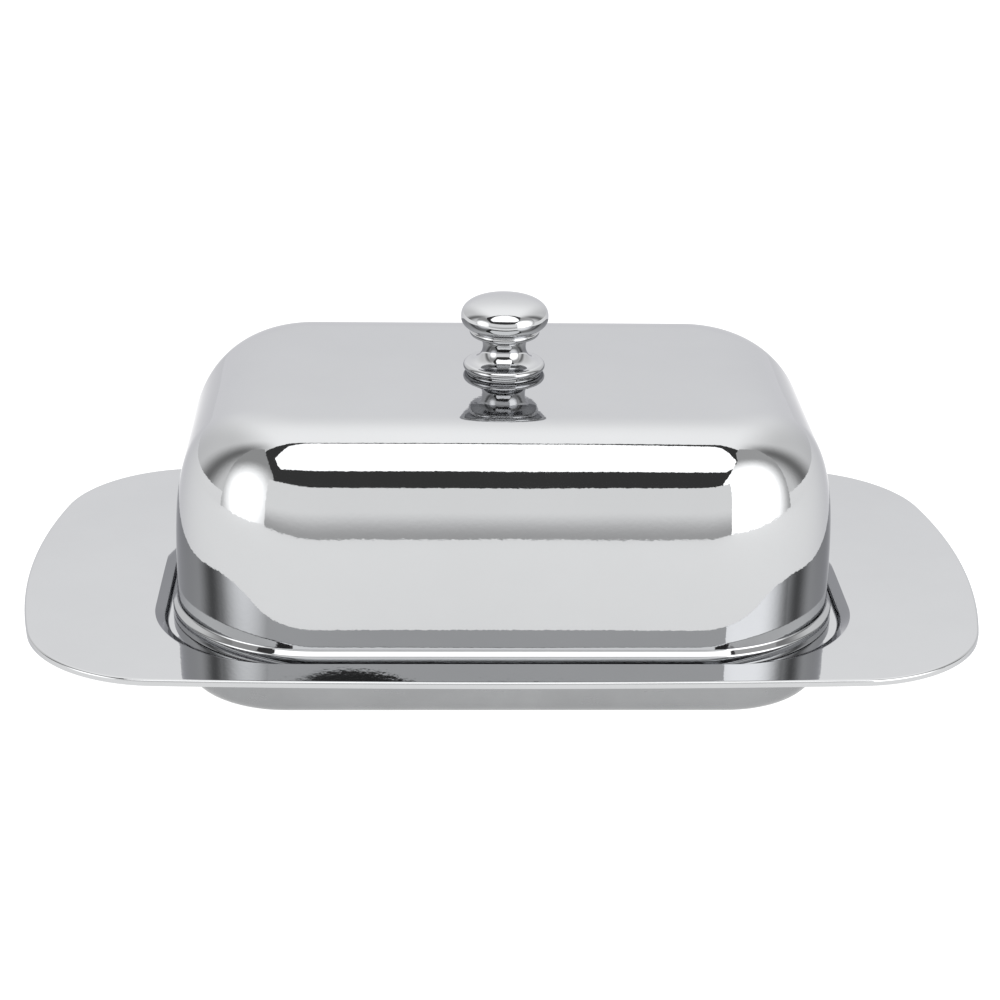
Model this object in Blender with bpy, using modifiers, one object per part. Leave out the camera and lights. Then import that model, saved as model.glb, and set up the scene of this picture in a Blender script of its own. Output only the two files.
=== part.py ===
"""Oblong butter dish: a pressed steel tray and a deep-drawn lid with a turned knob.

Metres, +Z up, +X along the tray. The origin is on the table, under the middle of the tray.
The lid and everything fixed to it hang from one empty on the vertical axis they lift along.
"""

from math import acos, atan2, cos, hypot, pi, radians, sin, tan

import bmesh
import bpy

MM = 0.001
FIT_GAP = 0.3 * MM              # clearance between pieces that touch

# Tray: one pressed sheet. Its outline is four tangent arcs with round corners.
TRAY_SHEET = 0.7 * MM
TRAY_LENGTH = 195.0 * MM
TRAY_WIDTH = 112.5 * MM
TRAY_END_ARC = 155.0 * MM
TRAY_SIDE_ARC = 1820.0 * MM
TRAY_CORNER = 28.4 * MM
RIM_HEIGHT = 14.05 * MM
EDGE_ROLL_RADIUS = 0.8 * MM
EDGE_LIP = 1.45 * MM            # height of the turned-down edge

# Recess and well, measured inwards from the line where the flat rim ends.
WELL_HALF_X = 70.0 * MM
WELL_HALF_Y = 48.2 * MM
WELL_CORNER = 26.9 * MM
LEDGE_DEPTH = 2.3 * MM
LEDGE_END = 5.4 * MM
CHAMFER_RUN = 1.6 * MM          # the recess starts with a shallow slope, then drops
CHAMFER_ANGLE = radians(26)
CHAMFER_RADIUS = 0.7 * MM
DROP_ANGLE = radians(76)
DROP_FOOT_RADIUS = 0.5 * MM
LEDGE_LIP_RADIUS = 1.2 * MM
WELL_DRAFT = radians(1.5)
FLOOR_FILLET = 2.4 * MM

# Lid: one drawn sheet, sized at the foot of its wall.
LID_SHEET = 0.6 * MM
LID_HALF_X = 65.8 * MM
LID_HALF_Y = 44.2 * MM
LID_CORNER = 28.7 * MM
LID_TOP = 57.0 * MM
CROWN_REACH_X = 23.85 * MM      # how far the walls curve in from foot to flat top
CROWN_REACH_Y = 16.95 * MM
CROWN_EXPONENT = 2.64           # near the flat top: 2 is round, more is squarer
WALL_EXPONENT = 3.95            # near the foot: more keeps the wall upright for longer
CROWN_TOP_CORNER = 1.0 * MM
SKIRT_OUTSET = 0.95 * MM        # the foot steps out to a short skirt that stands in the recess
SKIRT_HEIGHT = 1.7 * MM
STEP_ANGLE = radians(45)
STEP_OUTER_RADIUS = 0.8 * MM
STEP_INNER_RADIUS = 0.6 * MM

# Knob: heights are above the lid's top.
KNOB_HEIGHT = 15.6 * MM
HEAD_RADIUS = 8.85 * MM
HEAD_EQUATOR = 11.4 * MM
HEAD_EXPONENT = 2.45
HEAD_UNDERCUT = (2.15 * MM, 2.2 * MM)
COLLAR_RADIUS = 0.85 * MM
COLLAR_CENTRE = (6.2 * MM, 8.35 * MM)
NECK_RADIUS = 4.35 * MM
NECK_WAIST = 5.2 * MM
NECK_TOP = (1.25 * MM, 2.2 * MM)
BASE_RIM_RADIUS = 0.85 * MM
BASE_RIM_CENTRE = (7.4 * MM, 1.16 * MM)
BASE_FOOT_RADIUS = 7.5 * MM
KNOB_BORE_RADIUS = 2.1 * MM
KNOB_BORE_DEPTH = 9.2 * MM

# Screw and washer inside the lid.
LID_HOLE_RADIUS = 2.2 * MM
WASHER_RADIUS = 4.5 * MM
WASHER_HOLE_RADIUS = 2.15 * MM
WASHER_THICKNESS = 0.8 * MM
SCREW_RADIUS = 1.8 * MM
SCREW_HEAD_RADIUS = 4.0 * MM
SCREW_HEAD_RIM = 0.8 * MM
SCREW_HEAD_HEIGHT = 2.3 * MM
SCREW_TIP_GAP = 0.5 * MM
SLOT_LENGTH = 4.2 * MM
SLOT_WIDTH = 0.9 * MM
SLOT_DEPTH = 1.3 * MM

# Facets
END_STEPS = 3
CORNER_STEPS = 7
SIDE_STEPS = 3
TURNED_STEPS = 32
SMOOTH_ANGLE = radians(35)
MERGE_DISTANCE = 0.00005

LEDGE_HEIGHT = RIM_HEIGHT - LEDGE_DEPTH
LID_FOOT = LEDGE_HEIGHT + FIT_GAP


def clear_scene():
    """Start from nothing."""
    for obj in list(bpy.data.objects):
        bpy.data.objects.remove(obj, do_unlink=True)


def new_collection(name):
    collection = bpy.data.collections.new(name)
    bpy.context.scene.collection.children.link(collection)
    return collection


def steel(name, shade, roughness):
    """A bare steel finish."""
    material = bpy.data.materials.new(name)
    material.use_nodes = True
    shader = material.node_tree.nodes["Principled BSDF"]
    shader.inputs["Base Color"].default_value = (shade, shade, shade * 1.01, 1.0)
    shader.inputs["Metallic"].default_value = 1.0
    shader.inputs["Roughness"].default_value = roughness
    return material


def arc(centre, radius, start, end, steps):
    """Points on a circle, or on an ellipse if radius is a pair; angles in radians."""
    reach_u, reach_v = radius if isinstance(radius, tuple) else (radius, radius)
    points = []
    for step in range(steps + 1):
        angle = start + (end - start) * step / steps
        points.append((centre[0] + reach_u * cos(angle), centre[1] + reach_v * sin(angle)))
    return points


def line(start, end, steps):
    """Evenly spaced points from start to end, both included."""
    return [
        (start[0] + (end[0] - start[0]) * step / steps, start[1] + (end[1] - start[1]) * step / steps)
        for step in range(steps + 1)
    ]


def rounded_quarter(half_x, half_y, radius):
    """A quarter of a rounded rectangle, from +X round to +Y."""
    centre = (half_x - radius, half_y - radius)
    end = line((half_x, 0.0), (half_x, centre[1]), END_STEPS)
    corner = arc(centre, radius, 0.0, pi / 2, CORNER_STEPS)
    side = line((centre[0], half_y), (0.0, half_y), SIDE_STEPS)
    return end[:-1] + corner + side[1:]


def bulged_quarter(inset):
    """A quarter of the tray's outline, drawn in by inset: end arc, corner arc, side arc."""
    half_x = TRAY_LENGTH / 2 - inset
    half_y = TRAY_WIDTH / 2 - inset
    end_arc = TRAY_END_ARC - inset
    side_arc = TRAY_SIDE_ARC - inset
    corner = TRAY_CORNER - inset
    end_centre = (half_x - end_arc, 0.0)
    side_centre = (0.0, half_y - side_arc)
    # The corner's centre is tangent inside both arcs: solve the triangle of the three centres.
    to_end = end_arc - corner
    to_side = side_arc - corner
    apart = hypot(end_centre[0], side_centre[1])
    at_end = acos((to_end**2 + apart**2 - to_side**2) / (2 * to_end * apart))
    bearing = atan2(side_centre[1], -end_centre[0]) + at_end
    centre = (end_centre[0] + to_end * cos(bearing), end_centre[1] + to_end * sin(bearing))
    turn_end = atan2(centre[1] - end_centre[1], centre[0] - end_centre[0])
    turn_side = atan2(centre[1] - side_centre[1], centre[0] - side_centre[0])
    end = arc(end_centre, end_arc, 0.0, turn_end, END_STEPS)
    round_corner = arc(centre, corner, turn_end, turn_side, CORNER_STEPS)
    side = arc(side_centre, side_arc, turn_side, pi / 2, SIDE_STEPS)
    return end[:-1] + round_corner + side[1:]


def loft_quarter(name, rings, collection):
    """An open sheet through rings of (quarter outline, height), closed across the last one.

    The quarter is mirrored about both planes, and stays open there until it is mirrored.
    """
    mesh = bpy.data.meshes.new(name)
    build = bmesh.new()
    rows = [[build.verts.new((x, y, height)) for x, y in outline] for outline, height in rings]
    for outer, inner in zip(rows, rows[1:]):
        for i in range(len(outer) - 1):
            build.faces.new((outer[i], outer[i + 1], inner[i + 1], inner[i]))
    middle = build.verts.new((0.0, 0.0, rings[-1][1]))
    build.faces.new(rows[-1] + [middle])
    build.to_mesh(mesh)
    build.free()
    obj = bpy.data.objects.new(name, mesh)
    collection.objects.link(obj)
    mirror = obj.modifiers.new("mirror", "MIRROR")
    mirror.use_axis = (True, True, False)
    mirror.use_clip = True
    mirror.merge_threshold = MERGE_DISTANCE
    return obj


def thicken(obj, thickness):
    """Give a sheet its thickness on the side away from its faces."""
    solidify = obj.modifiers.new("sheet", "SOLIDIFY")
    solidify.thickness = thickness
    solidify.offset = -1.0
    solidify.use_even_offset = True


def turn(name, profile, collection, closed=False):
    """A turned solid: the profile lies in the XZ plane and runs down its outer side."""
    mesh = bpy.data.meshes.new(name)
    vertices = [(radius, 0.0, height) for radius, height in profile]
    edges = [(i, i + 1) for i in range(len(vertices) - 1)]
    if closed:
        edges.append((len(vertices) - 1, 0))
    mesh.from_pydata(vertices, edges, [])
    obj = bpy.data.objects.new(name, mesh)
    collection.objects.link(obj)
    screw = obj.modifiers.new("turn", "SCREW")
    screw.axis = "Z"
    screw.angle = 2 * pi
    screw.steps = TURNED_STEPS
    screw.render_steps = TURNED_STEPS
    screw.use_merge_vertices = True
    screw.merge_threshold = MERGE_DISTANCE
    screw.use_smooth_shade = True
    return obj


def cut(obj, cutter):
    """Take a hidden cutter away from a piece."""
    cutter.hide_render = True
    cutter.display_type = "WIRE"
    boolean = obj.modifiers.new("cut_" + cutter.name, "BOOLEAN")
    boolean.operation = "DIFFERENCE"
    boolean.solver = "EXACT"
    boolean.object = cutter


def add_cutter(name, collection, make_shape, scale, location):
    """A cutter from a bmesh primitive, scaled and placed in its mesh."""
    build = bmesh.new()
    make_shape(build)
    bmesh.ops.scale(build, vec=scale, verts=build.verts)
    bmesh.ops.translate(build, vec=location, verts=build.verts)
    mesh = bpy.data.meshes.new(name)
    build.to_mesh(mesh)
    build.free()
    obj = bpy.data.objects.new(name, mesh)
    collection.objects.link(obj)
    return obj


def finish(obj, material, parent=None):
    """Colour and smooth a piece, and hang it from its moving empty if it has one."""
    obj.data.materials.append(material)
    obj.data.shade_smooth()
    obj.data.set_sharp_from_angle(angle=SMOOTH_ANGLE)
    if parent:
        obj.parent = parent


def tray_section():
    """The rim and well from the turned-down edge inwards: (kind, inset, height) of the top side."""
    roll_centre = (EDGE_ROLL_RADIUS, RIM_HEIGHT - EDGE_ROLL_RADIUS)
    roll = arc(roll_centre, EDGE_ROLL_RADIUS, pi, pi / 2, 5)
    rim = [("rim", inset, height) for inset, height in [(0.0, RIM_HEIGHT - EDGE_LIP)] + roll]

    # Recess: a shallow chamfer, a steep drop and the flat ledge that the lid stands on.
    edge = arc((0.0, RIM_HEIGHT - CHAMFER_RADIUS), CHAMFER_RADIUS, pi / 2, pi / 2 - CHAMFER_ANGLE, 2)
    chamfer_end = (edge[-1][0] + CHAMFER_RUN, edge[-1][1] - CHAMFER_RUN * tan(CHAMFER_ANGLE))
    turn_centre = (
        chamfer_end[0] - CHAMFER_RADIUS * sin(CHAMFER_ANGLE),
        chamfer_end[1] - CHAMFER_RADIUS * cos(CHAMFER_ANGLE),
    )
    brow = arc(turn_centre, CHAMFER_RADIUS, pi / 2 - CHAMFER_ANGLE, pi / 2 - DROP_ANGLE, 4)
    foot_top = LEDGE_HEIGHT + DROP_FOOT_RADIUS * (1 - cos(DROP_ANGLE))
    foot_inset = brow[-1][0] + (brow[-1][1] - foot_top) / tan(DROP_ANGLE)
    foot_centre = (foot_inset + DROP_FOOT_RADIUS * sin(DROP_ANGLE), LEDGE_HEIGHT + DROP_FOOT_RADIUS)
    foot = arc(foot_centre, DROP_FOOT_RADIUS, -pi / 2 - DROP_ANGLE, -pi / 2, 4)

    lip_centre = (LEDGE_END, LEDGE_HEIGHT - LEDGE_LIP_RADIUS)
    lip = arc(lip_centre, LEDGE_LIP_RADIUS, pi / 2, WELL_DRAFT, 4)
    fillet_height = TRAY_SHEET + FLOOR_FILLET
    fillet_start = lip[-1][0] + (lip[-1][1] - fillet_height) * tan(WELL_DRAFT)
    fillet_centre = (fillet_start + FLOOR_FILLET * cos(WELL_DRAFT), fillet_height)
    fillet = arc(fillet_centre, FLOOR_FILLET, pi + WELL_DRAFT, 3 * pi / 2, 4)
    well = [("well", inset, height) for inset, height in edge + brow + foot + lip + fillet]
    return rim + well


def make_tray(collection):
    rings = []
    for kind, inset, height in tray_section():
        if kind == "rim":
            outline = bulged_quarter(inset)
        else:
            outline = rounded_quarter(WELL_HALF_X - inset, WELL_HALF_Y - inset, WELL_CORNER - inset)
        rings.append((outline, height))
    obj = loft_quarter("tray", rings, collection)
    thicken(obj, TRAY_SHEET)
    return obj


def lid_foot():
    """The lid's foot as (outset, height): an upright skirt that steps in to the wall."""
    skirt_top = LID_FOOT + SKIRT_HEIGHT
    outer = arc((SKIRT_OUTSET - STEP_OUTER_RADIUS, skirt_top), STEP_OUTER_RADIUS, 0.0, STEP_ANGLE, 5)
    inner_reach = STEP_INNER_RADIUS * (1 - cos(STEP_ANGLE))
    slope_drop = (outer[-1][0] - inner_reach) / tan(STEP_ANGLE)
    inner_start = outer[-1][1] + slope_drop
    inner_centre = (STEP_INNER_RADIUS, inner_start + STEP_INNER_RADIUS * sin(STEP_ANGLE))
    inner = arc(inner_centre, STEP_INNER_RADIUS, pi + STEP_ANGLE, pi, 3)
    return [(SKIRT_OUTSET, LID_FOOT)] + outer + inner


def lid_rings():
    """Outer surface of the lid from its foot to the flat top."""
    foot = lid_foot()
    rings = []
    for outset, height in foot:
        outline = rounded_quarter(LID_HALF_X + outset, LID_HALF_Y + outset, LID_CORNER + outset)
        rings.append((outline, height))

    wall_foot = foot[-1][1]
    steps = 15
    for step in range(1, steps + 1):
        angle = pi / 2 * step / steps
        inward = 1 - cos(angle) ** (2 / CROWN_EXPONENT) if step < steps else 1.0
        outline = rounded_quarter(
            LID_HALF_X - CROWN_REACH_X * inward,
            LID_HALF_Y - CROWN_REACH_Y * inward,
            LID_CORNER + (CROWN_TOP_CORNER - LID_CORNER) * inward,
        )
        rings.append((outline, wall_foot + (LID_TOP - wall_foot) * sin(angle) ** (2 / WALL_EXPONENT)))
    return rings


def make_lid(collection, cutters):
    obj = loft_quarter("lid_shell", lid_rings(), collection)
    thicken(obj, LID_SHEET)
    drill = add_cutter(
        "lid_hole",
        cutters,
        lambda build: bmesh.ops.create_cone(
            build, cap_ends=True, segments=24, radius1=1.0, radius2=1.0, depth=1.0
        ),
        (LID_HOLE_RADIUS, LID_HOLE_RADIUS, 10 * LID_SHEET),
        (0.0, 0.0, LID_TOP),
    )
    cut(obj, drill)
    return obj


def knob_profile():
    """From the top of the head down the outside to the base, then up the bore."""
    dome = []
    for step in range(9):
        angle = pi / 2 * (1 - step / 8)
        outward = cos(angle) ** (2 / HEAD_EXPONENT) if step else 0.0
        upward = sin(angle) ** (2 / HEAD_EXPONENT)
        dome.append((HEAD_RADIUS * outward, HEAD_EQUATOR + (KNOB_HEIGHT - HEAD_EQUATOR) * upward))
    underside = arc((HEAD_RADIUS - HEAD_UNDERCUT[0], HEAD_EQUATOR), HEAD_UNDERCUT, 0.0, -pi / 2, 4)
    collar = arc(COLLAR_CENTRE, COLLAR_RADIUS, radians(40), radians(-70), 4)
    neck_top_centre = (NECK_RADIUS + NECK_TOP[0], NECK_WAIST)
    neck_top = arc(neck_top_centre, NECK_TOP, radians(105), pi, 3)
    flare = (BASE_RIM_CENTRE[0] - NECK_RADIUS, NECK_WAIST - BASE_RIM_CENTRE[1] - BASE_RIM_RADIUS)
    neck_foot = arc((BASE_RIM_CENTRE[0], NECK_WAIST), flare, pi, 3 * pi / 2, 6)
    base_rim = arc(BASE_RIM_CENTRE, BASE_RIM_RADIUS, pi / 2, radians(-80), 5)
    foot = [
        (BASE_FOOT_RADIUS, FIT_GAP),
        (KNOB_BORE_RADIUS, FIT_GAP),
        (KNOB_BORE_RADIUS, FIT_GAP + KNOB_BORE_DEPTH),
        (0.0, FIT_GAP + KNOB_BORE_DEPTH),
    ]
    profile = dome + underside[1:] + collar + neck_top + neck_foot[1:] + base_rim[1:] + foot
    return [(radius, LID_TOP + height) for radius, height in profile]


def washer_profile():
    top = LID_TOP - LID_SHEET - FIT_GAP
    bottom = top - WASHER_THICKNESS
    return [
        (WASHER_HOLE_RADIUS, top),
        (WASHER_RADIUS, top),
        (WASHER_RADIUS, bottom),
        (WASHER_HOLE_RADIUS, bottom),
    ]


def make_screw(collection, cutters):
    """A pan-head screw, head down, with a cross slot cut up into its head."""
    bearing = washer_profile()[-1][1] - FIT_GAP
    tip = LID_TOP + FIT_GAP + KNOB_BORE_DEPTH - SCREW_TIP_GAP
    lowest = bearing - SCREW_HEAD_HEIGHT
    pan = arc(
        (0.0, bearing - SCREW_HEAD_RIM),
        (SCREW_HEAD_RADIUS, SCREW_HEAD_HEIGHT - SCREW_HEAD_RIM),
        0.0,
        -pi / 2,
        5,
    )
    pan[-1] = (0.0, lowest)
    shank = [
        (0.0, tip),
        (SCREW_RADIUS - FIT_GAP, tip),
        (SCREW_RADIUS, tip - FIT_GAP),
        (SCREW_RADIUS, bearing),
        (SCREW_HEAD_RADIUS, bearing),
    ]
    obj = turn("knob_screw", shank + pan, collection)
    for name, size_x, size_y in (("slot_x", SLOT_LENGTH, SLOT_WIDTH), ("slot_y", SLOT_WIDTH, SLOT_LENGTH)):
        slot = add_cutter(
            name,
            cutters,
            lambda build: bmesh.ops.create_cube(build, size=1.0),
            (size_x, size_y, 2 * SLOT_DEPTH),
            (0.0, 0.0, lowest),
        )
        cut(obj, slot)
    return obj


def main():
    clear_scene()
    pieces = new_collection("butter_dish")
    cutters = new_collection("cutters")
    polished = steel("polished_sheet_steel", 0.78, 0.08)
    turned = steel("polished_knob_steel", 0.76, 0.1)
    plated = steel("plated_fastener_steel", 0.62, 0.3)

    lift_axis = bpy.data.objects.new("lid_lift_axis", None)
    pieces.objects.link(lift_axis)

    finish(make_tray(pieces), polished)
    finish(make_lid(pieces, cutters), polished, lift_axis)
    finish(turn("knob", knob_profile(), pieces), turned, lift_axis)
    finish(turn("knob_washer", washer_profile(), pieces, closed=True), plated, lift_axis)
    finish(make_screw(pieces, cutters), plated, lift_axis)


main()
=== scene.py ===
"""The looks of an oblong polished steel butter dish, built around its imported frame.

Metres, +Z up, +X along the tray, the camera on the -Y side. The frame's boxes give the places
and overall sizes; the constants below are the radii and angles that the boxes can't say.
"""

from math import acos, atan2, cos, hypot, pi, radians, sin, tan

import bmesh
import bpy
from mathutils import Matrix, Vector


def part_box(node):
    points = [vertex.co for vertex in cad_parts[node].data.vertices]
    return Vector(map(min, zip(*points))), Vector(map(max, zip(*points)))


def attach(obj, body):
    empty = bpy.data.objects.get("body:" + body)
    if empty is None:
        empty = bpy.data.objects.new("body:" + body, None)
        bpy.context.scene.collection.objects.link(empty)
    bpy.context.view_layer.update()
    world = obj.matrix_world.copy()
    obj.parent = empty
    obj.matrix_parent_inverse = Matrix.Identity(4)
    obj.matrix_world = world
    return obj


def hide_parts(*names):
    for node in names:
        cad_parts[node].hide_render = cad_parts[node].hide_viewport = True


MM = 0.001
MICRON = 0.001 * MM

# Camera
CAMERA_PLACE = (-18.63 * MM, -476.31 * MM, 221.09 * MM)
CAMERA_PITCH = radians(22.0)
CAMERA_YAW = radians(2.2)
CAMERA_ROLL = radians(0.98)
CAMERA_LENS = 89.32
SENSOR_WIDTH = 36.0
CLIP_START = 0.01

# Tray sheet
TRAY_SHEET = 0.7 * MM
TRAY_END_ARC = 155.0 * MM
TRAY_SIDE_ARC = 1820.0 * MM
TRAY_CORNER = 28.4 * MM
EDGE_ROLL_RADIUS = 0.5 * MM
EDGE_LIP = 1.25 * MM            # height of the turned-down edge
WELL_HALF_X = 70.0 * MM
WELL_HALF_Y = 48.2 * MM
WELL_CORNER = 26.9 * MM
LEDGE_DEPTH = 2.3 * MM
LEDGE_END = 5.4 * MM
CHAMFER_RUN = 1.6 * MM
CHAMFER_ANGLE = radians(26)
CHAMFER_RADIUS = 0.7 * MM
DROP_ANGLE = radians(76)
DROP_FOOT_RADIUS = 0.5 * MM
LEDGE_LIP_RADIUS = 1.2 * MM
WELL_DRAFT = radians(1.5)
FLOOR_FILLET = 2.4 * MM

# Lid sheet
LID_SHEET = 0.6 * MM
LID_CORNER = 28.7 * MM
CROWN_REACH_X = 23.85 * MM
CROWN_REACH_Y = 16.95 * MM
CROWN_EXPONENT = 2.64           # near the flat top
WALL_EXPONENT = 3.95            # near the foot
CROWN_TOP_CORNER = 1.0 * MM
SKIRT_OUTSET = 0.95 * MM        # the foot steps out to a short skirt
SKIRT_HEIGHT = 1.7 * MM
STEP_ANGLE = radians(45)
STEP_OUTER_RADIUS = 0.7 * MM
STEP_INNER_RADIUS = 0.6 * MM
LID_HOLE_RADIUS = 2.2 * MM

# Knob: heights are above the lid's top
HEAD_EQUATOR = 11.4 * MM
HEAD_EXPONENT = 2.45
HEAD_UNDERCUT = (2.15 * MM, 2.2 * MM)
COLLAR_RADIUS = 0.85 * MM
COLLAR_CENTRE = (6.2 * MM, 8.35 * MM)
COLLAR_SWEEP = (radians(40), radians(-70))
NECK_RADIUS = 4.35 * MM
NECK_WAIST = 5.2 * MM
NECK_TOP = (1.25 * MM, 2.2 * MM)
NECK_TOP_START = radians(105)
BASE_RIM_RADIUS = 0.85 * MM
BASE_RIM_CENTRE = (7.4 * MM, 1.16 * MM)
BASE_RIM_END = radians(-80)
BASE_FOOT_RADIUS = 7.5 * MM
KNOB_BORE_RADIUS = 2.1 * MM
KNOB_BORE_DEPTH = 9.2 * MM

# Fasteners
WASHER_HOLE_RADIUS = 2.15 * MM
EDGE_BREAK = 0.12 * MM
SCREW_RADIUS = 1.8 * MM
SCREW_HEAD_RADIUS = 4.0 * MM
SCREW_HEAD_RIM = 0.8 * MM
SLOT_LENGTH = 4.2 * MM
SLOT_WIDTH = 0.9 * MM
SLOT_DEPTH = 1.3 * MM
SCREW_FILLET = 0.25 * MM
SCREW_POINT = 0.5 * MM
THREAD_PITCH = 0.7 * MM
THREAD_DEPTH = 0.36 * MM
FIT_GAP = 0.3 * MM
# The knob's base and the lid's lower edge are drawn down by this, to all but touch what they stand on
SETTLE = 0.24 * MM
SCREW_SHARP_ANGLE = radians(28)
SLOT_TAPER = 0.72               # how wide the cross recess is at its bottom, for 1 at its top
# Along one pitch: where a thread's root starts and ends, and where its crest starts
THREAD_STATIONS = (0.38, 0.52, 0.9)

# Polish
POLISH_REFLECTANCE = 0.5
GRAZING_TINT = (0.62, 0.62, 0.64, 1.0)      # of what it reflects, seen at about 82 degrees
POLISH_ROUGHNESS = (0.018, 0.05)
SMUDGE_SIZE = 30.0 * MM
PEEL_SIZE = 0.9 * MM
RUB_SIZE = 0.9 * MM
RUB_ANGLE = radians(24)
HAIRLINE_SIZE = 0.6 * MM
HAIRLINE_ANGLE = radians(-8)
SCRATCH_HEIGHT = 0.12 * MICRON

# Each polished piece's waviness as (height, size), and the height of its orange peel
TRAY_WAVE = (150 * MICRON, 45.0 * MM)
TRAY_PEEL = 5.0 * MICRON
LID_WAVE = (450 * MICRON, 50.0 * MM)
LID_PEEL = 5.0 * MICRON
KNOB_WAVE = (4.0 * MICRON, 5.0 * MM)
KNOB_PEEL = 1.5 * MICRON

# A shallow dent in the tray's front rim
DENT_PLACE = (-31.0 * MM, -64.0 * MM, 14.0 * MM)
DENT_REACH = 18.0 * MM
DENT_HEIGHT = -270 * MICRON

# The unpolished side of the sheet, darkened with painted shade, and the plating of the screw and
# washer
# Below POLISH_REFLECTANCE for the same steel: painted shade on the tray's underside and the lid's
# inside
SATIN_REFLECTANCE_PAINTED_SHADE = 0.3
SATIN_ROUGHNESS = 0.3
CLOUD_SIZE = 12.0 * MM
GRAIN_HEIGHT = 3.0 * MICRON
GRAIN_SIZE = 0.4 * MM
STREAK_HEIGHT = 2.0 * MICRON
STREAK_SIZE = 0.7 * MM
PLATING_REFLECTANCE = 0.5
PLATING_ROUGHNESS = 0.3
PATCH_SIZE = 2.0 * MM
PLATING_GRAIN_HEIGHT = 2.5 * MICRON
PLATING_GRAIN_SIZE = 0.25 * MM
GREEN_SHARE = 0.45              # how much of blue's tint goes to green
NOISE_LOW = 0.3                 # most of a noise texture lies between these two values
NOISE_HIGH = 0.7

# Surroundings: a brightness that rises overhead, dimmer sides and a soft dark band on each side
WORLD_LOW = 1.42
WORLD_HIGH = 1.62
OVERHEAD = (0.5, 1.0)
SIDE_LEVEL = 0.72
SIDEWAYS = (0.3, 0.8)
BAND_SIDEWAYS = (0.35, 0.85)
BAND_PLACE = 0.27
BAND_LEAN = 0.5
BAND_REACH = 0.3
BAND_DARK = 0.75

# Floor
FLOOR_REACH = 6.0
FLOOR_DROP = 0.2 * MM
FLOOR_SHADE = (0.2, 0.2, 0.2, 1.0)
FLOOR_GLOW = 1.05
WHITE = (1.0, 1.0, 1.0, 1.0)

# Cards around the lid's crown. An outline is (azimuth, elevation) in degrees as seen from the
# crown, azimuth 0 towards the camera and +90 towards +X. The card lies in a plane that faces
# the crown from an azimuth, an elevation and a distance in metres.
CROWN_CENTRE = (0.0, -35.0 * MM, 45.0 * MM)
SOFTBOX_OUTLINE = (
    (-37, 34), (30, 34.5), (40, 37), (47, 45), (58, 70),
    (62, 85), (-66, 85), (-62, 70), (-50, 45), (-42, 37),
)
SOFTBOX_FACING = (0, 45, 0.5)
SOFTBOX_GLOW = 2.2
FRAME_OUTLINE = (
    (-45, 5), (45, 5), (55, 30), (66, 50), (78, 75),
    (85, 87.5), (-85, 87.5), (-78, 75), (-70, 50), (-55, 30),
)
FRAME_FACING = (0, 45, 0.56)
FRAME_GLOW = 0.064
FRONT_OUTLINE = (
    (-47, -20), (35, -20), (35, 20.6), (25, 20.5), (12, 20.4),
    (0, 20.3), (-12, 20.2), (-25, 20.1), (-37, 20), (-47, 20),
)
FRONT_FACING = (0, 0, 0.215)
FRONT_GLOWS = (0.6, 1.25)
FRONT_FADE = (0.0, 0.055)       # up from the floor
LEFT_OUTLINE = ((-44, -20), (-43, 22), (-50, 31), (-62, 42), (-75, 50), (-85, 40), (-85, -20))
LEFT_FACING = (-48, 0, 0.333)
LEFT_GLOWS = (2.9, 0.5)
LEFT_FADE = (0.02, 0.20)        # outwards from the hot spot
LEFT_HOT_SPOT = (-0.315, -0.182, 0.07)
RIGHT_OUTLINE = ((29, -20), (28, 22), (37, 31), (50, 43), (60, 55), (72, 58), (84, 45), (84, -20))
RIGHT_FACING = (34, 0, 0.269)
RIGHT_GLOWS = (3.2, 0.6)
RIGHT_FADE = (0.06, 0.25)
RIGHT_HOT_SPOT = (0.223, -0.209, 0.08)

# Mesh fineness
END_STEPS = 12
CORNER_STEPS = 30
SIDE_STEPS = 14
WALL_STEPS = 110
WALL_CROWDING = 1.6             # more puts more of the wall's rings near its foot
TOP_STEPS = 12
DOME_STEPS = 32
TURNED_STEPS = 160
MERGE_DISTANCE = 5.0 * MICRON
SHARP_ANGLE = radians(50)
CUT_EDGE_ANGLE = radians(60)


# ---------------------------------------------------------------- outlines and profiles

def arc(centre, radius, start, end, steps):
    """Points on a circle, or on an ellipse if radius is a pair; angles in radians."""
    reach_u, reach_v = radius if isinstance(radius, tuple) else (radius, radius)
    points = []
    for step in range(steps + 1):
        angle = start + (end - start) * step / steps
        points.append((centre[0] + reach_u * cos(angle), centre[1] + reach_v * sin(angle)))
    return points


def line(start, end, steps):
    """Evenly spaced points from start to end, both included."""
    return [
        (start[0] + (end[0] - start[0]) * step / steps, start[1] + (end[1] - start[1]) * step / steps)
        for step in range(steps + 1)
    ]


def whole_loop(quarter):
    """A closed outline from its quarter, which runs from +X round to +Y."""
    first = quarter[:-1]
    second = [(-x, y) for x, y in reversed(quarter)][:-1]
    third = [(-x, -y) for x, y in quarter][:-1]
    fourth = [(x, -y) for x, y in reversed(quarter)][:-1]
    return first + second + third + fourth


def rounded_outline(half_x, half_y, radius):
    """A closed outline with straight sides and round corners."""
    centre = (half_x - radius, half_y - radius)
    end = line((half_x, 0.0), (half_x, centre[1]), END_STEPS)
    corner = arc(centre, radius, 0.0, pi / 2, CORNER_STEPS)
    side = line((centre[0], half_y), (0.0, half_y), SIDE_STEPS)
    return whole_loop(end[:-1] + corner + side[1:])


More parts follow.
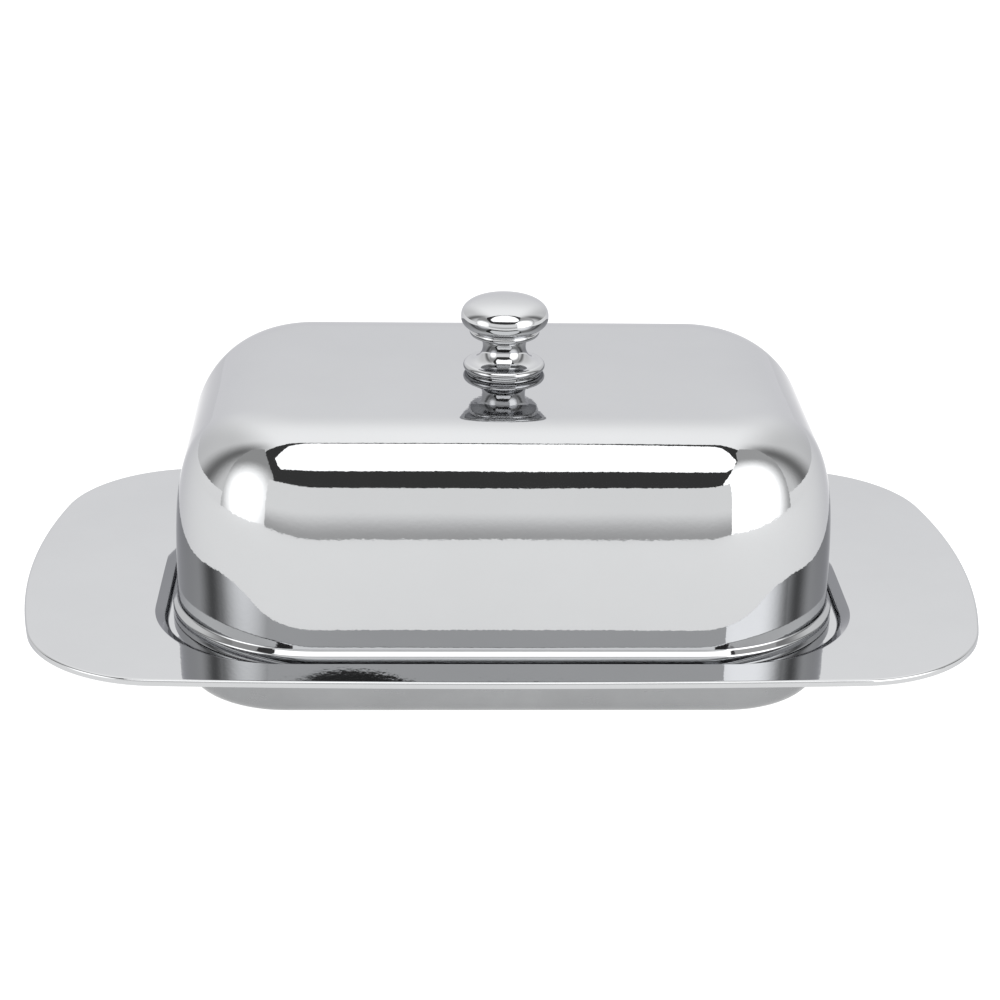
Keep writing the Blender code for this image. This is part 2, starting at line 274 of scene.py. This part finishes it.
def bulged_outline(length, width, inset):
    """The tray's outline, drawn in by inset: end arcs, corner arcs and side arcs, all tangent."""
    half_x = length / 2 - inset
    half_y = width / 2 - inset
    end_arc = TRAY_END_ARC - inset
    side_arc = TRAY_SIDE_ARC - inset
    corner = TRAY_CORNER - inset
    end_centre = (half_x - end_arc, 0.0)
    side_centre = (0.0, half_y - side_arc)
    to_end = end_arc - corner
    to_side = side_arc - corner
    apart = hypot(end_centre[0], side_centre[1])
    at_end = acos((to_end**2 + apart**2 - to_side**2) / (2 * to_end * apart))
    bearing = atan2(side_centre[1], -end_centre[0]) + at_end
    centre = (end_centre[0] + to_end * cos(bearing), end_centre[1] + to_end * sin(bearing))
    turn_end = atan2(centre[1] - end_centre[1], centre[0] - end_centre[0])
    turn_side = atan2(centre[1] - side_centre[1], centre[0] - side_centre[0])
    end = arc(end_centre, end_arc, 0.0, turn_end, END_STEPS)
    round_corner = arc(centre, corner, turn_end, turn_side, CORNER_STEPS)
    side = arc(side_centre, side_arc, turn_side, pi / 2, SIDE_STEPS)
    return whole_loop(end[:-1] + round_corner + side[1:])


def blended(outer, inner, shares):
    """Outlines part of the way from outer to inner, one for each share."""
    return [
        [(a[0] + (b[0] - a[0]) * share, a[1] + (b[1] - a[1]) * share) for a, b in zip(outer, inner)]
        for share in shares
    ]


def circle_like(outline, radius):
    """A circle with one point in the direction of each point of outline."""
    return [(radius * x / hypot(x, y), radius * y / hypot(x, y)) for x, y in outline]


# ---------------------------------------------------------------- meshes

def link(obj):
    bpy.context.scene.collection.objects.link(obj)
    return obj


def sheet_mesh(name, loops, close_middle):
    """An open sheet through loops of (outline, height); the last can be closed with a fan."""
    build = bmesh.new()
    rows = [[build.verts.new((x, y, height)) for x, y in outline] for outline, height in loops]
    for outer, inner in zip(rows, rows[1:]):
        for i, corner in enumerate(outer):
            after = (i + 1) % len(outer)
            build.faces.new((corner, outer[after], inner[after], inner[i]))
    if close_middle:
        middle = build.verts.new((0.0, 0.0, loops[-1][1]))
        for i, corner in enumerate(rows[-1]):
            build.faces.new((corner, rows[-1][(i + 1) % len(rows[-1])], middle))
    mesh = bpy.data.meshes.new(name)
    build.to_mesh(mesh)
    build.free()
    mesh.shade_smooth()
    return link(bpy.data.objects.new(name, mesh))


def thicken(obj, thickness):
    """Sheet metal: a thickness under the faces, with its cut edge slightly rounded."""
    solidify = obj.modifiers.new("sheet", "SOLIDIFY")
    solidify.thickness = thickness
    solidify.offset = -1.0
    solidify.use_even_offset = True
    solidify.material_offset = 1
    bevel = obj.modifiers.new("cut_edge", "BEVEL")
    bevel.limit_method = "ANGLE"
    bevel.angle_limit = CUT_EDGE_ANGLE
    bevel.width = EDGE_BREAK
    bevel.segments = 3


def apply_modifiers(obj):
    evaluated = obj.evaluated_get(bpy.context.evaluated_depsgraph_get())
    applied = bpy.data.meshes.new_from_object(evaluated)
    obj.modifiers.clear()
    obj.data = applied
    applied.name = obj.name


def smooth_between_edges(obj, sharp_angle):
    obj.data.shade_smooth()
    obj.data.set_sharp_from_angle(angle=sharp_angle)


def turned(name, profile, closed=False):
    """A turned solid: the profile runs down its outer side."""
    mesh = bpy.data.meshes.new(name)
    edges = [(i, i + 1) for i in range(len(profile) - 1)]
    if closed:
        edges.append((len(profile) - 1, 0))
    mesh.from_pydata([(radius, 0.0, height) for radius, height in profile], edges, [])
    obj = link(bpy.data.objects.new(name, mesh))
    screw = obj.modifiers.new("turn", "SCREW")
    screw.axis = "Z"
    screw.steps = TURNED_STEPS
    screw.render_steps = TURNED_STEPS
    screw.use_merge_vertices = True
    screw.merge_threshold = MERGE_DISTANCE
    screw.use_smooth_shade = True
    apply_modifiers(obj)
    smooth_between_edges(obj, SHARP_ANGLE)
    return obj


# ---------------------------------------------------------------- pieces

def recess_section(rim):
    """The recess as (inset, height): shallow chamfer, steep drop, and the foot on the ledge."""
    ledge = rim - LEDGE_DEPTH
    edge_centre = (0.0, rim - CHAMFER_RADIUS)
    edge = arc(edge_centre, CHAMFER_RADIUS, pi / 2, pi / 2 - CHAMFER_ANGLE, steps=6)
    chamfer_end = (edge[-1][0] + CHAMFER_RUN, edge[-1][1] - CHAMFER_RUN * tan(CHAMFER_ANGLE))
    turn_centre = (
        chamfer_end[0] - CHAMFER_RADIUS * sin(CHAMFER_ANGLE),
        chamfer_end[1] - CHAMFER_RADIUS * cos(CHAMFER_ANGLE),
    )
    brow = arc(turn_centre, CHAMFER_RADIUS, pi / 2 - CHAMFER_ANGLE, pi / 2 - DROP_ANGLE, steps=8)
    foot_top = ledge + DROP_FOOT_RADIUS * (1 - cos(DROP_ANGLE))
    foot_inset = brow[-1][0] + (brow[-1][1] - foot_top) / tan(DROP_ANGLE)
    foot_centre = (foot_inset + DROP_FOOT_RADIUS * sin(DROP_ANGLE), ledge + DROP_FOOT_RADIUS)
    foot = arc(foot_centre, DROP_FOOT_RADIUS, -pi / 2 - DROP_ANGLE, -pi / 2, steps=6)
    return edge + brow + foot


def well_section(ledge, floor):
    """The well as (inset, height): over the ledge's lip, down its wall and round to the floor."""
    bend_centre = (LEDGE_END, ledge - LEDGE_LIP_RADIUS)
    bend = arc(bend_centre, LEDGE_LIP_RADIUS, pi / 2, WELL_DRAFT, steps=8)
    fillet_height = floor + FLOOR_FILLET
    fillet_start = bend[-1][0] + (bend[-1][1] - fillet_height) * tan(WELL_DRAFT)
    wall = line(bend[-1], (fillet_start, fillet_height), steps=6)
    fillet_centre = (fillet_start + FLOOR_FILLET * cos(WELL_DRAFT), fillet_height)
    fillet = arc(fillet_centre, FLOOR_FILLET, pi + WELL_DRAFT, 3 * pi / 2, steps=10)
    return bend + wall[1:-1] + fillet


def tray_loops(low, high):
    """The tray's top surface, from the turned-down edge in to the middle of the floor."""
    length, width, rim = high.x - low.x, high.y - low.y, high.z
    roll_centre = (EDGE_ROLL_RADIUS, rim - EDGE_ROLL_RADIUS)
    roll = arc(roll_centre, EDGE_ROLL_RADIUS, pi, pi / 2, steps=10)
    lip = line((0.0, rim - EDGE_LIP), roll[0], steps=4)[:-1]
    loops = [(bulged_outline(length, width, inset), height) for inset, height in lip + roll]

    def well_outline(inset):
        return rounded_outline(WELL_HALF_X - inset, WELL_HALF_Y - inset, WELL_CORNER - inset)

    # The flat rim and the flat floor have closer loops beside their bent edges
    rim_shares = [0.01, 0.03] + [step / 10 for step in range(1, 10)] + [0.96, 0.985]
    loops += [(outline, rim) for outline in blended(loops[-1][0], well_outline(0.0), rim_shares)]

    recess = recess_section(rim)
    ledge = recess[-1][1]
    flat = line(recess[-1], (LEDGE_END, ledge), steps=4)
    section = recess + flat[1:-1] + well_section(ledge, low.z + TRAY_SHEET)
    loops += [(well_outline(inset), height) for inset, height in section]

    floor_edge, floor_height = loops[-1]
    floor_middle = circle_like(floor_edge, 0.0)
    floor_shares = [0.005, 0.02, 0.1, 0.25, 0.4, 0.55, 0.7, 0.85, 0.95]
    loops += [(outline, floor_height) for outline in blended(floor_edge, floor_middle, floor_shares)]
    return loops


def lid_foot(foot):
    """The lid's foot as (outset, height): an upright skirt that steps in to the wall."""
    outer_centre = (SKIRT_OUTSET - STEP_OUTER_RADIUS, foot + SKIRT_HEIGHT)
    outer = arc(outer_centre, STEP_OUTER_RADIUS, 0.0, STEP_ANGLE, steps=10)
    inner_reach = STEP_INNER_RADIUS * (1 - cos(STEP_ANGLE))
    slope_rise = (outer[-1][0] - inner_reach) / tan(STEP_ANGLE)
    inner_start = outer[-1][1] + slope_rise
    inner_centre = (STEP_INNER_RADIUS, inner_start + STEP_INNER_RADIUS * sin(STEP_ANGLE))
    inner = arc(inner_centre, STEP_INNER_RADIUS, pi + STEP_ANGLE, pi, steps=6)
    skirt = line((SKIRT_OUTSET, foot - SETTLE), outer[0], steps=4)
    return skirt[:-1] + outer + inner


def lid_loops(low, high):
    """The lid's outer surface, from its foot up to the knob's hole."""
    half_x = (high.x - low.x) / 2 - SKIRT_OUTSET
    half_y = (high.y - low.y) / 2 - SKIRT_OUTSET
    foot = lid_foot(low.z)
    loops = []
    for outset, height in foot:
        loops.append((rounded_outline(half_x + outset, half_y + outset, LID_CORNER + outset), height))

    wall_foot = foot[-1][1]
    for step in range(1, WALL_STEPS + 1):
        angle = pi / 2 * (step / WALL_STEPS) ** WALL_CROWDING
        inward = 1 - (cos(angle) ** (2 / CROWN_EXPONENT) if step < WALL_STEPS else 0.0)
        outline = rounded_outline(
            half_x - CROWN_REACH_X * inward,
            half_y - CROWN_REACH_Y * inward,
            LID_CORNER + (CROWN_TOP_CORNER - LID_CORNER) * inward,
        )
        loops.append((outline, wall_foot + (high.z - wall_foot) * sin(angle) ** (2 / WALL_EXPONENT)))

    top = loops[-1][0]
    hole = circle_like(top, LID_HOLE_RADIUS)
    shares = [step / TOP_STEPS for step in range(1, TOP_STEPS + 1)]
    loops += [(outline, high.z) for outline in blended(top, hole, shares)]
    return loops


def knob_profile(low, high, lid_top):
    """From the top of the head down the outside to the base, then up the bore."""
    head_radius = (high.x - low.x) / 2
    height = high.z - lid_top
    base = low.z - lid_top - SETTLE
    dome = []
    for step in range(DOME_STEPS + 1):
        angle = pi / 2 * (1 - step / DOME_STEPS)
        outward = cos(angle) ** (2 / HEAD_EXPONENT) if step else 0.0
        upward = sin(angle) ** (2 / HEAD_EXPONENT) if step < DOME_STEPS else 0.0
        dome.append((head_radius * outward, HEAD_EQUATOR + (height - HEAD_EQUATOR) * upward))
    undercut_centre = (head_radius - HEAD_UNDERCUT[0], HEAD_EQUATOR)
    underside = arc(undercut_centre, HEAD_UNDERCUT, 0.0, -pi / 2, steps=16)
    collar = arc(COLLAR_CENTRE, COLLAR_RADIUS, *COLLAR_SWEEP, steps=14)
    neck_top = arc((NECK_RADIUS + NECK_TOP[0], NECK_WAIST), NECK_TOP, NECK_TOP_START, pi, steps=12)
    flare = (BASE_RIM_CENTRE[0] - NECK_RADIUS, NECK_WAIST - BASE_RIM_CENTRE[1] - BASE_RIM_RADIUS)
    neck_foot = arc((BASE_RIM_CENTRE[0], NECK_WAIST), flare, pi, 3 * pi / 2, steps=24)
    base_rim = arc(BASE_RIM_CENTRE, BASE_RIM_RADIUS, pi / 2, BASE_RIM_END, steps=18)
    foot = [
        (BASE_FOOT_RADIUS, base),
        (KNOB_BORE_RADIUS, base),
        (KNOB_BORE_RADIUS, base + KNOB_BORE_DEPTH),
        (0.0, base + KNOB_BORE_DEPTH),
    ]
    profile = dome + underside[1:] + collar + neck_top + neck_foot[1:] + base_rim[1:] + foot
    return [(radius, lid_top + rise) for radius, rise in profile]


def washer_profile(low, high):
    """Out from the hole across the top, down the rim and back underneath to the hole."""
    outer = (high.x - low.x) / 2
    bottom, top = low.z, high.z
    return [
        (WASHER_HOLE_RADIUS, top - EDGE_BREAK),
        (WASHER_HOLE_RADIUS + EDGE_BREAK, top),
        (outer - 2 * EDGE_BREAK, top),
        (outer - EDGE_BREAK / 2, top - EDGE_BREAK / 2),
        (outer, top - 2 * EDGE_BREAK),
        (outer, bottom + EDGE_BREAK),
        (outer - EDGE_BREAK, bottom),
        (WASHER_HOLE_RADIUS + EDGE_BREAK, bottom),
        (WASHER_HOLE_RADIUS, bottom + EDGE_BREAK),
    ]


def make_tray():
    tray = sheet_mesh("tray_sheet", tray_loops(*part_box("tray")), close_middle=True)
    thicken(tray, TRAY_SHEET)
    return tray


def make_lid():
    lid = sheet_mesh("lid_sheet", lid_loops(*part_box("lid_shell")), close_middle=False)
    thicken(lid, LID_SHEET)
    return lid


def make_knob():
    return turned("turned_knob", knob_profile(*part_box("knob"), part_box("lid_shell")[1].z))


def make_washer():
    return turned("washer", washer_profile(*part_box("knob_washer")), closed=True)


def screw_profile(low, high):
    """From the tip down the threaded shank and round the pan head to the middle of its face."""
    head_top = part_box("knob_washer")[0].z - FIT_GAP
    crown = head_top - low.z - SCREW_HEAD_RIM
    dome = arc((0.0, low.z + crown), (SCREW_HEAD_RADIUS, crown), -pi / 2, 0.0, steps=20)
    shoulder = [
        (SCREW_HEAD_RADIUS, head_top - EDGE_BREAK),
        (SCREW_HEAD_RADIUS - EDGE_BREAK, head_top),
        (SCREW_RADIUS + SCREW_FILLET, head_top),
    ]
    neck_centre = (SCREW_RADIUS + SCREW_FILLET, head_top + SCREW_FILLET)
    neck = arc(neck_centre, SCREW_FILLET, -pi / 2, -pi, steps=5)
    root_start, root_end, crest_start = THREAD_STATIONS
    threads = []
    turns = int((high.z - SCREW_POINT - neck[-1][1]) / THREAD_PITCH)
    for turn in range(turns):
        foot = high.z - SCREW_POINT - (turns - turn) * THREAD_PITCH
        threads += [
            (SCREW_RADIUS, foot),
            (SCREW_RADIUS - THREAD_DEPTH, foot + THREAD_PITCH * root_start),
            (SCREW_RADIUS - THREAD_DEPTH, foot + THREAD_PITCH * root_end),
            (SCREW_RADIUS, foot + THREAD_PITCH * crest_start),
        ]
    end = [(SCREW_RADIUS, high.z - SCREW_POINT), (SCREW_RADIUS - SCREW_POINT, high.z), (0.0, high.z)]
    return list(reversed(dome + shoulder + neck[1:] + threads + end))


def slot_cutter(reach_x, reach_y, face):
    """A tapered block that is SLOT_DEPTH deep in the head above face."""
    cutter = bmesh.new()
    bmesh.ops.create_cube(cutter, size=1.0)
    for corner in cutter.verts:
        deep = corner.co.z > 0
        share = SLOT_TAPER if deep else 1.0
        rise = SLOT_DEPTH if deep else -SLOT_DEPTH
        corner.co = (corner.co.x * reach_x * share, corner.co.y * reach_y * share, face + rise)
    mesh = bpy.data.meshes.new("slot_cutter")
    cutter.to_mesh(mesh)
    cutter.free()
    return link(bpy.data.objects.new("slot_cutter", mesh))


def make_screw():
    """A pan-head screw with its cross recess cut into the head."""
    low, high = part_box("knob_screw")
    screw = turned("pan_screw", screw_profile(low, high))
    for reach_x, reach_y in ((SLOT_LENGTH, SLOT_WIDTH), (SLOT_WIDTH, SLOT_LENGTH)):
        cutter = slot_cutter(reach_x, reach_y, low.z)
        cut = screw.modifiers.new("slot", "BOOLEAN")
        cut.operation = "DIFFERENCE"
        cut.solver = "EXACT"
        cut.object = cutter
        apply_modifiers(screw)
        bpy.data.objects.remove(cutter, do_unlink=True)
    screw.data.materials.clear()
    smooth_between_edges(screw, SCREW_SHARP_ANGLE)
    return screw


# ---------------------------------------------------------------- materials

class Nodes:
    """The nodes of a material or a world, wired with few words."""

    def __init__(self, owner, coordinates="Object"):
        owner.use_nodes = True
        self.tree = owner.node_tree
        self.place = self.add("ShaderNodeTexCoord").outputs[coordinates]

    def add(self, kind, **values):
        node = self.tree.nodes.new(kind)
        for key, value in values.items():
            setattr(node, key, value)
        return node

    def feed(self, node, socket, value):
        """Sets a socket to a number or colour, or links it to another node's output."""
        if isinstance(value, bpy.types.NodeSocket):
            self.tree.links.new(value, node.inputs[socket])
        else:
            node.inputs[socket].default_value = value

    def spread(self, value, from_range, to_range, interpolation="LINEAR"):
        """Maps one range of values onto another."""
        node = self.add("ShaderNodeMapRange", interpolation_type=interpolation)
        self.feed(node, "Value", value)
        for end, number in zip(("From Min", "From Max", "To Min", "To Max"), from_range + to_range):
            self.feed(node, end, number)
        return node.outputs["Result"]

    def fade(self, value, from_range, to_range):
        """The same, easing in and out of the range."""
        return self.spread(value, from_range, to_range, "SMOOTHSTEP")

    def combine(self, operation, first, second=0.0):
        node = self.add("ShaderNodeMath", operation=operation)
        self.feed(node, 0, first)
        self.feed(node, 1, second)
        return node.outputs["Value"]

    def measure(self, operation, vector):
        """How far each place is from a point (DISTANCE), or along a direction (DOT_PRODUCT)."""
        node = self.add("ShaderNodeVectorMath", operation=operation)
        self.feed(node, 0, self.place)
        self.feed(node, 1, vector)
        return node.outputs["Value"]


class Finish(Nodes):
    """A bare metal's material."""

    def __init__(self, name):
        self.material = bpy.data.materials.new(name)
        super().__init__(self.material)
        self.shader = self.tree.nodes["Principled BSDF"]
        self.feed(self.shader, "Metallic", 1.0)

    def noise(self, size, detail=2.0, roughness=0.5, stretch=(1.0, 1.0, 1.0), turn=0.0):
        """Noise whose features are about size metres across before stretch; turn is about Z."""
        mapping = self.add("ShaderNodeMapping")
        self.feed(mapping, "Vector", self.place)
        self.feed(mapping, "Scale", tuple(share / size for share in stretch))
        self.feed(mapping, "Rotation", (0.0, 0.0, turn))
        node = self.add("ShaderNodeTexNoise")
        self.feed(node, "Vector", mapping.outputs["Vector"])
        self.feed(node, "Scale", 1.0)
        self.feed(node, "Detail", detail)
        self.feed(node, "Roughness", roughness)
        return node.outputs["Fac"]

    def vary(self, noise, middle, least, most):
        """A value that the noise takes from least to most times middle."""
        return self.spread(noise, (NOISE_LOW, NOISE_HIGH), (middle * least, middle * most))

    def relief(self, noise, height):
        """A surface height that the noise takes from nothing to height."""
        return self.spread(noise, (0.0, 1.0), (0.0, height))

    def mound(self, place, reach, height):
        """A smooth rise around a place, or a dent if height is negative."""
        return self.fade(self.measure("DISTANCE", place), (0.0, reach), (height, 0.0))

    def colour(self, value, tint):
        """The base colour, from a grey value and a tint for blue."""
        node = self.add("ShaderNodeCombineColor")
        self.feed(node, "Red", value)
        self.feed(node, "Green", self.combine("MULTIPLY", value, tint**GREEN_SHARE))
        self.feed(node, "Blue", self.combine("MULTIPLY", value, tint))
        self.feed(self.shader, "Base Color", node.outputs["Color"])

    def bumps(self, heights):
        """One bump node after another, each a height in metres."""
        normal = None
        for height in heights:
            node = self.add("ShaderNodeBump")
            self.feed(node, "Strength", 1.0)
            self.feed(node, "Distance", 1.0)
            self.feed(node, "Height", height)
            if normal:
                self.feed(node, "Normal", normal)
            normal = node.outputs["Normal"]
        self.feed(self.shader, "Normal", normal)


def polished_steel(name, wave, peel_height, dented=False):
    """Mirror-polished steel: sheet waviness, orange peel, hairline scratches and faint smudges."""
    finish = Finish(name)
    smudges = finish.noise(SMUDGE_SIZE, detail=5.0, roughness=0.62)
    finish.colour(finish.vary(smudges, POLISH_REFLECTANCE, least=0.985, most=1.015), tint=1.024)
    finish.feed(finish.shader, "Specular Tint", GRAZING_TINT)
    finish.feed(finish.shader, "Roughness", finish.spread(smudges, (0.35, 0.75), POLISH_ROUGHNESS))

    wave_height, wave_size = wave
    waves = finish.noise(wave_size, detail=1.0)
    peel = finish.noise(PEEL_SIZE)
    rubbed = finish.noise(RUB_SIZE, stretch=(1.0, 0.03, 0.2), turn=RUB_ANGLE)
    hairlines = finish.noise(HAIRLINE_SIZE, detail=1.0, stretch=(0.02, 1.0, 0.2), turn=HAIRLINE_ANGLE)
    scratches = finish.combine("ADD", rubbed, hairlines)
    heights = [
        finish.relief(waves, wave_height),
        finish.relief(peel, peel_height),
        finish.spread(scratches, (1.1, 1.5), (0.0, SCRATCH_HEIGHT)),
    ]
    if dented:
        heights.append(finish.mound(DENT_PLACE, DENT_REACH, DENT_HEIGHT))
    finish.bumps(heights)
    return finish.material


def satin_steel_painted_shade():
    """The unpolished side of the sheet: fine grain and drawn-metal streaks, with a darker base colour
    that is painted shade.
    """
    finish = Finish("satin_sheet_painted_shade")
    clouds = finish.noise(CLOUD_SIZE, detail=6.0, roughness=0.6)
    grain = finish.noise(GRAIN_SIZE, detail=3.0)
    streaks = finish.noise(STREAK_SIZE, detail=3.0, stretch=(0.05, 1.0, 0.6))
    # The base colour is darker than the polished steel's: painted shade where the sheet faces down
    # and inwards
    finish.colour(finish.vary(clouds, SATIN_REFLECTANCE_PAINTED_SHADE, least=0.94, most=1.05), tint=1.03)
    roughness = finish.vary(streaks, SATIN_ROUGHNESS, least=0.85, most=1.2)
    finish.feed(finish.shader, "Roughness", roughness)
    finish.bumps([finish.relief(grain, GRAIN_HEIGHT), finish.relief(streaks, STREAK_HEIGHT)])
    return finish.material


def plated_steel():
    """A plated fastener: a dull grain and darker patches."""
    finish = Finish("plating")
    patches = finish.noise(PATCH_SIZE, detail=5.0, roughness=0.6)
    grain = finish.noise(PLATING_GRAIN_SIZE, detail=3.0)
    finish.colour(finish.vary(patches, PLATING_REFLECTANCE, least=0.88, most=1.06), tint=1.02)
    roughness = finish.vary(patches, PLATING_ROUGHNESS, least=0.8, most=1.25)
    finish.feed(finish.shader, "Roughness", roughness)
    finish.bumps([finish.relief(grain, PLATING_GRAIN_HEIGHT)])
    return finish.material


# ---------------------------------------------------------------- stage

def place_camera():
    data = bpy.data.cameras.new("camera")
    data.lens = CAMERA_LENS
    data.sensor_width = SENSOR_WIDTH
    data.clip_start = CLIP_START
    camera = link(bpy.data.objects.new("camera", data))
    forward = Vector((
        sin(CAMERA_YAW) * cos(CAMERA_PITCH),
        cos(CAMERA_YAW) * cos(CAMERA_PITCH),
        -sin(CAMERA_PITCH),
    ))
    level = Vector((cos(CAMERA_YAW), -sin(CAMERA_YAW), 0.0))
    over = level.cross(forward)
    right = level * cos(CAMERA_ROLL) + over * sin(CAMERA_ROLL)
    up = over * cos(CAMERA_ROLL) - level * sin(CAMERA_ROLL)
    turn = Matrix((right, up, -forward)).transposed().to_4x4()
    camera.matrix_world = Matrix.Translation(CAMERA_PLACE) @ turn
    bpy.context.scene.camera = camera


def glow(name, glows, fade=None, around=None):
    """An emission material: one brightness, or two that fade up from the floor or around a point."""
    material = bpy.data.materials.new(name)
    nodes = Nodes(material)
    nodes.tree.nodes.remove(nodes.tree.nodes["Principled BSDF"])
    emission = nodes.add("ShaderNodeEmission")
    nodes.feed(nodes.tree.nodes["Material Output"], "Surface", emission.outputs["Emission"])
    strength = glows
    if around:
        strength = nodes.fade(nodes.measure("DISTANCE", around), fade, glows)
    elif fade:
        strength = nodes.fade(nodes.measure("DOT_PRODUCT", (0.0, 0.0, 1.0)), fade, glows)
    nodes.feed(emission, "Strength", strength)
    return material


def direction(azimuth, elevation):
    """Azimuth 0 is towards the camera, +90 is +X; both in degrees."""
    a, e = radians(azimuth), radians(elevation)
    return Vector((sin(a) * cos(e), -cos(a) * cos(e), sin(e)))


def card(name, outline, facing, material):
    """A flat card that lights the object and shows in its polish, but not to the camera."""
    facing_azimuth, facing_elevation, distance = facing
    normal = direction(facing_azimuth, facing_elevation)
    corners = []
    for azimuth, elevation in outline:
        sight = direction(azimuth, elevation)
        spot = Vector(CROWN_CENTRE) + sight * (distance / sight.dot(normal))
        corners.append((spot.x, spot.y, max(spot.z, 0.0)))      # no lower than the floor
    mesh = bpy.data.meshes.new(name)
    mesh.from_pydata(corners, [], [list(range(len(corners)))])
    mesh.materials.append(material)
    obj = link(bpy.data.objects.new(name, mesh))
    obj.visible_camera = False
    obj.visible_shadow = False


def make_lights():
    """A softbox in a dark frame overhead, a grey card in front and a glowing panel on each side."""
    softbox = glow("top_glow", SOFTBOX_GLOW)
    frame_dark = glow("frame_dark", FRAME_GLOW)
    front_grey = glow("card_grey", FRONT_GLOWS, FRONT_FADE)
    left_glow = glow("left_glow", LEFT_GLOWS, LEFT_FADE, LEFT_HOT_SPOT)
    right_glow = glow("right_glow", RIGHT_GLOWS, RIGHT_FADE, RIGHT_HOT_SPOT)
    card("top_softbox", SOFTBOX_OUTLINE, SOFTBOX_FACING, softbox)
    card("dark_frame", FRAME_OUTLINE, FRAME_FACING, frame_dark)
    card("front_card", FRONT_OUTLINE, FRONT_FACING, front_grey)
    card("left_panel", LEFT_OUTLINE, LEFT_FACING, left_glow)
    card("right_panel", RIGHT_OUTLINE, RIGHT_FACING, right_glow)


def make_floor():
    mesh = bpy.data.meshes.new("floor")
    corners = [(x * FLOOR_REACH, y * FLOOR_REACH, 0) for x, y in ((-1, -1), (1, -1), (1, 1), (-1, 1))]
    mesh.from_pydata(corners, [], [(0, 1, 2, 3)])
    floor = link(bpy.data.objects.new("floor", mesh))
    floor.location.z = -FLOOR_DROP
    material = bpy.data.materials.new("floor")
    material.use_nodes = True
    shader = material.node_tree.nodes["Principled BSDF"]
    shader.inputs["Base Color"].default_value = FLOOR_SHADE
    shader.inputs["Roughness"].default_value = 1.0
    shader.inputs["Specular IOR Level"].default_value = 0.0
    shader.inputs["Emission Color"].default_value = WHITE
    shader.inputs["Emission Strength"].default_value = FLOOR_GLOW
    mesh.materials.append(material)


def make_world():
    """Soft light from all round: brighter overhead, with a soft dark band leaning on each side."""
    world = bpy.data.worlds.new("studio")
    bpy.context.scene.world = world
    nodes = Nodes(world, "Generated")
    split = nodes.add("ShaderNodeSeparateXYZ")
    nodes.feed(split, "Vector", nodes.place)
    overhead = nodes.fade(split.outputs["Z"], OVERHEAD, (WORLD_LOW, WORLD_HIGH))
    sideways = nodes.combine("ABSOLUTE", split.outputs["X"])
    leaning = nodes.combine("MULTIPLY", split.outputs["Z"], BAND_LEAN)
    across = nodes.combine("SUBTRACT", nodes.combine("ADD", split.outputs["Y"], leaning), BAND_PLACE)
    darkness = nodes.fade(nodes.combine("ABSOLUTE", across), (0.0, BAND_REACH), (BAND_DARK, 0.0))
    band = nodes.combine("MULTIPLY", darkness, nodes.fade(sideways, BAND_SIDEWAYS, (0.0, 1.0)))
    side = nodes.fade(sideways, SIDEWAYS, (1.0, SIDE_LEVEL))
    plain = nodes.combine("MULTIPLY", overhead, side)
    strength = nodes.combine("MULTIPLY", plain, nodes.combine("SUBTRACT", 1.0, band))
    background = nodes.tree.nodes["Background"]
    nodes.feed(background, "Color", WHITE)
    nodes.feed(background, "Strength", strength)


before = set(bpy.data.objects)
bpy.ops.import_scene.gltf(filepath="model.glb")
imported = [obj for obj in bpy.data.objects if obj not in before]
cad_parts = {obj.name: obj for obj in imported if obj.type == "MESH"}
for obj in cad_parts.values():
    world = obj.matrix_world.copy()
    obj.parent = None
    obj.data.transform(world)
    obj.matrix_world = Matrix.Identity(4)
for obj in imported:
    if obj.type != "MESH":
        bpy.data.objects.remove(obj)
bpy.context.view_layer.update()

tray_polish = polished_steel("polished_tray", TRAY_WAVE, TRAY_PEEL, dented=True)
lid_polish = polished_steel("polished_lid", LID_WAVE, LID_PEEL)
knob_polish = polished_steel("polished_knob", KNOB_WAVE, KNOB_PEEL)
satin_painted_shade = satin_steel_painted_shade()
plating = plated_steel()
for piece, body, node, slot, finishes in (
    (make_tray(), "tray", "tray", "polished_sheet", (tray_polish, satin_painted_shade)),
    (make_lid(), "cover", "lid_shell", "polished_sheet", (lid_polish, satin_painted_shade)),
    (make_knob(), "cover", "knob", "knob_steel", (knob_polish,)),
    (make_washer(), "cover", "knob_washer", "fastener_steel", (plating,)),
    (make_screw(), "cover", "knob_screw", "fastener_steel", (plating,)),
):
    for finish in finishes:
        piece.data.materials.append(finish)
    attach(piece, body)
    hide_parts(node)

place_camera()
make_floor()
make_world()
make_lights()
bpy.context.scene.view_settings.view_transform = "Standard"
